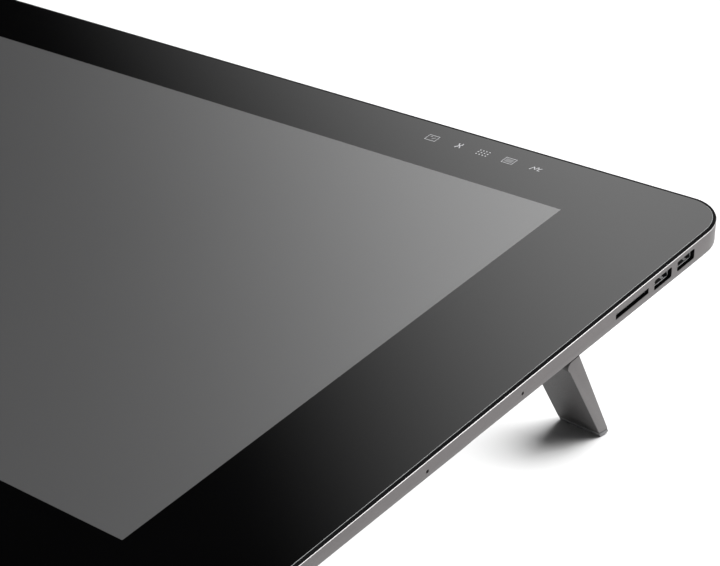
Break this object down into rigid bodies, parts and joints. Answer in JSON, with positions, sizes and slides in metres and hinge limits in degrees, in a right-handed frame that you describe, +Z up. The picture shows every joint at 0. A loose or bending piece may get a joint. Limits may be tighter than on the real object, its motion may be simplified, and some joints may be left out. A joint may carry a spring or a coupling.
{
  "type": "pen drawing tablet",
  "caption": "Flat pen display with a glass face, metal side frame, side sockets, fold-out rear legs, cooling fans and a rear mount plate.",
  "frame": {"origin": "centre of the bounding box at floor level", "axes": "+X to the user's right along the long side, +Y away from the user, +Z up; the glass leans 11.7 degrees towards the user"},
  "size_m": [0.667, 0.387, 0.0908],
  "materials": {
    "etched_glass": "matte etched",
    "border_ink": "gloss black",
    "black_tape": "matte",
    "screen_cell": "satin",
    "tray_metal": "satin",
    "circuit_board": "satin",
    "rim_plastic": "satin",
    "frame_metal": "fine bead-blasted satin",
    "cover_plastic": "fine texture",
    "screw_steel": "dark zinc",
    "vent_mesh": "matte",
    "plate_steel": "powder coat",
    "rubber": "matte",
    "leg_metal": "satin",
    "port_shell": "nickel plated",
    "port_plastic": "satin",
    "brass": "turned",
    "chip_black": "matte",
    "aluminium": "extruded",
    "copper": "drawn copper",
    "fan_plastic": "satin"
  },
  "bodies": {
    "tablet": {"back_cover": "cover_plastic", "backlight_unit": "tray_metal", "board_chips": "chip_black", "board_standoffs": "brass", "border_print": "border_ink", "card_liner": "rim_plastic", "cover_glass": "etched_glass", "cover_screws": "screw_steel", "digitizer_board": "circuit_board", "display_port": "port_shell", "fan_housing_left": "fan_plastic", "fan_housing_right": "fan_plastic", "fin_stacks": "aluminium", "front_feet": "rubber", "glass_tape": "black_tape", "hdmi_port": "port_shell", "headphone_jack": "port_plastic", "heat_pipe": "copper", "heat_spreader": "aluminium", "io_board": "circuit_board", "lcd_panel": "screen_cell", "leg_bracket_left": "screw_steel", "leg_bracket_right": "screw_steel", "leg_pin_left": "screw_steel", "leg_pin_right": "screw_steel", "main_board": "circuit_board", "mid_chassis": "tray_metal", "mount_plate": "plate_steel", "mount_posts": "plate_steel", "mount_screws": "screw_steel", "port_board_left": "circuit_board", "port_board_right": "circuit_board", "port_liners_left": "rim_plastic", "port_liners_right": "rim_plastic", "power_inlet": "port_plastic", "power_switch": "port_plastic", "rear_feet": "rubber", "rear_housing": "cover_plastic", "rear_usb_port": "port_shell", "rim_gasket": "rim_plastic", "sd_card_slot": "port_shell", "side_frame": "frame_metal", "side_nuts_left": "brass", "side_nuts_right": "brass", "touch_key_board": "circuit_board", "usb_c_port": "port_shell", "usb_shells_left": "port_shell", "usb_shells_right": "port_shell", "usb_tongues_left": "port_plastic", "usb_tongues_right": "port_plastic", "vent_screens": "vent_mesh"},
    "leg_right": {"leg_right": "leg_metal", "leg_foot_right": "rubber"},
    "leg_left": {"leg_left": "leg_metal", "leg_foot_left": "rubber"},
    "power_button": {"power_button": "frame_metal"},
    "fan_rotor_right": {"fan_rotor_right": "fan_plastic"},
    "fan_rotor_left": {"fan_rotor_left": "fan_plastic"}
  },
  "joints": [
    {"name": "leg_right_fold", "type": "hinge", "parent": "tablet", "child": "leg_right", "pos_m": [0.3193, 0.06996, 0.05283], "axis": [-0.9909, -0.0273, 0.132], "range_deg": [0, 116]},
    {"name": "leg_left_fold", "type": "hinge", "parent": "tablet", "child": "leg_left", "pos_m": [-0.3193, 0.06996, 0.05283], "axis": [-0.9909, 0.0273, -0.132], "range_deg": [0, 116]},
    {"name": "power_button_press", "type": "slide", "parent": "tablet", "child": "power_button", "axis": [0, -0.9792, -0.2028], "range_m": [0, 0.0005], "stiffness_N_per_m": 1500, "springref_m": -0.0003},
    {"name": "fan_right_spin", "type": "hinge", "parent": "tablet", "child": "fan_rotor_right", "pos_m": [0.15, 0.07503, 0.0407], "axis": [0, -0.2028, 0.9792], "continuous": true},
    {"name": "fan_left_spin", "type": "hinge", "parent": "tablet", "child": "fan_rotor_left", "pos_m": [-0.15, 0.07503, 0.0407], "axis": [0, -0.2028, 0.9792], "continuous": true}
  ]
}
